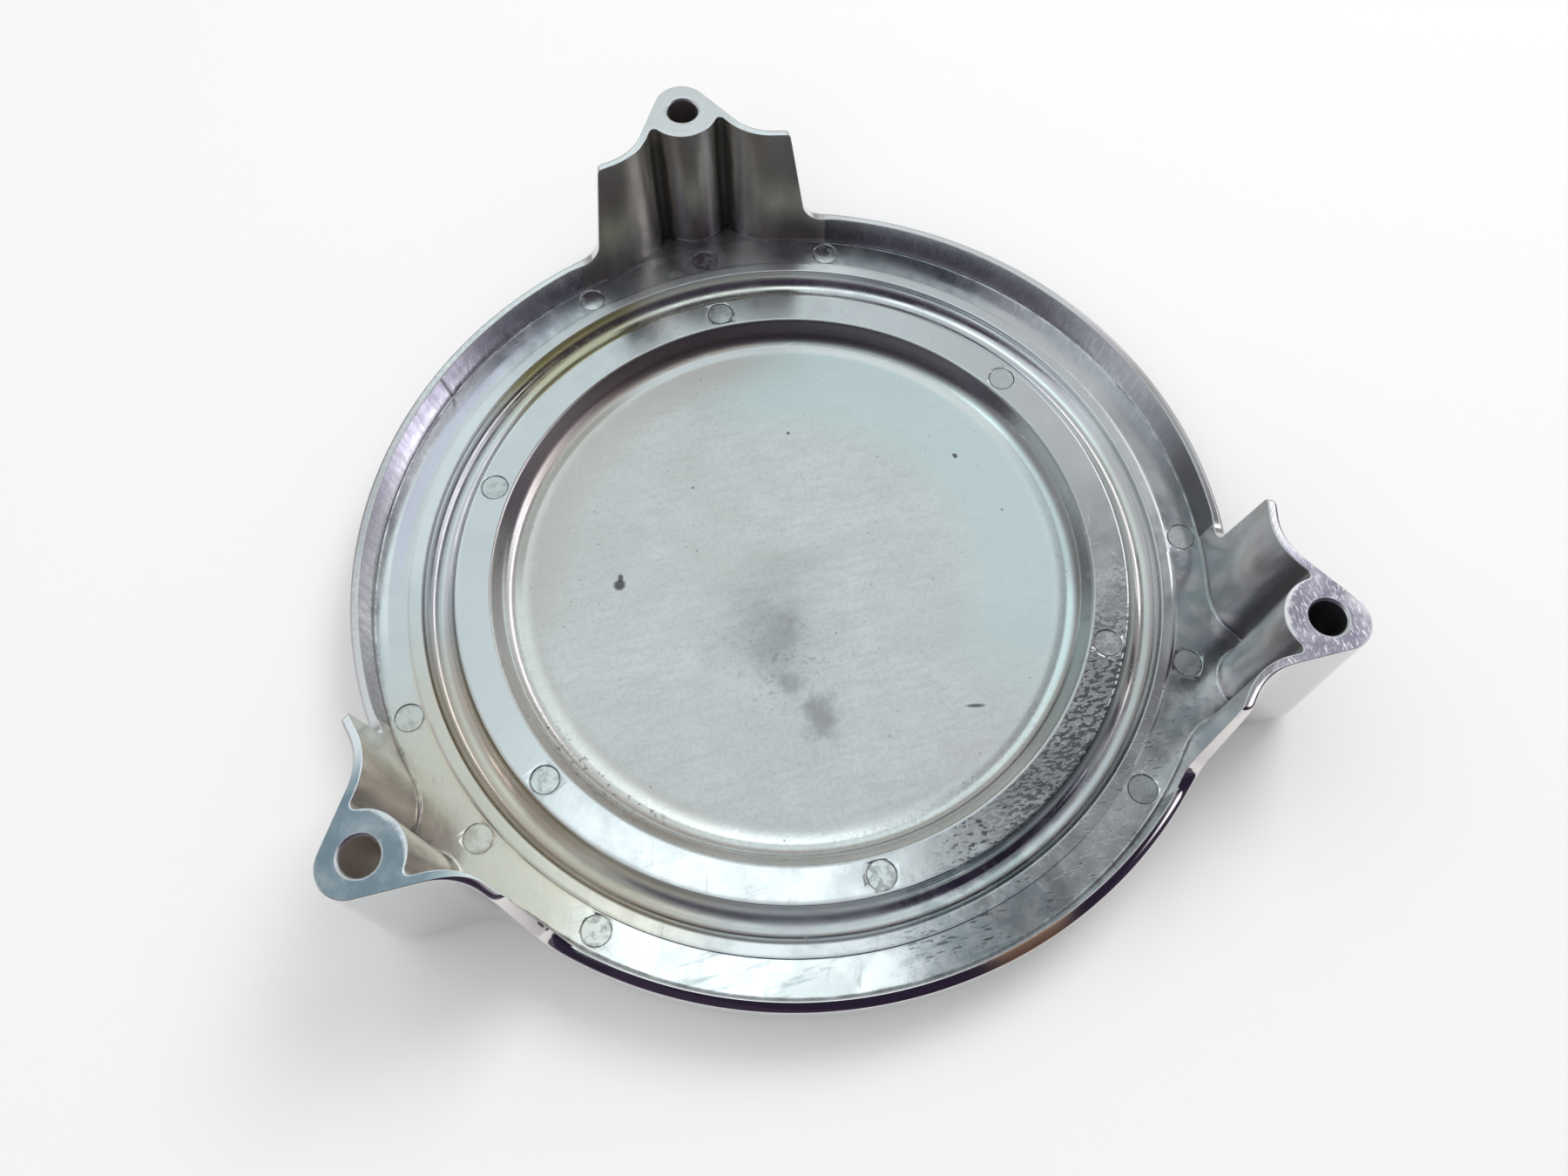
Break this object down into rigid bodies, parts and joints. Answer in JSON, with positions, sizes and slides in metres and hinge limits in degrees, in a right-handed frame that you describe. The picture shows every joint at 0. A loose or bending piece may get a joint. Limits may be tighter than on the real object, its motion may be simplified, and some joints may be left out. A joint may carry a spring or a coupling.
{
  "type": "engine side cover",
  "caption": "Round chrome-plated die-cast side cover with a sunk centre dish, a ring groove and three standoff ears that bolt it over the end of an engine case.",
  "frame": {"origin": "centre of the flat middle of the polished front, which is the face the cover lies on", "axes": "+Z along the cover's own axis, from the polished front towards the mounting faces of the ears; +Y out through one ear, with the other two ears 120 degrees to either side of it; +X completes the right-handed set"},
  "size_m": [0.1792, 0.1892, 0.038],
  "materials": {
    "chrome_plating": "polished"
  },
  "bodies": {
    "root": {"cover_casting": "chrome_plating"}
  },
  "joints": []
}
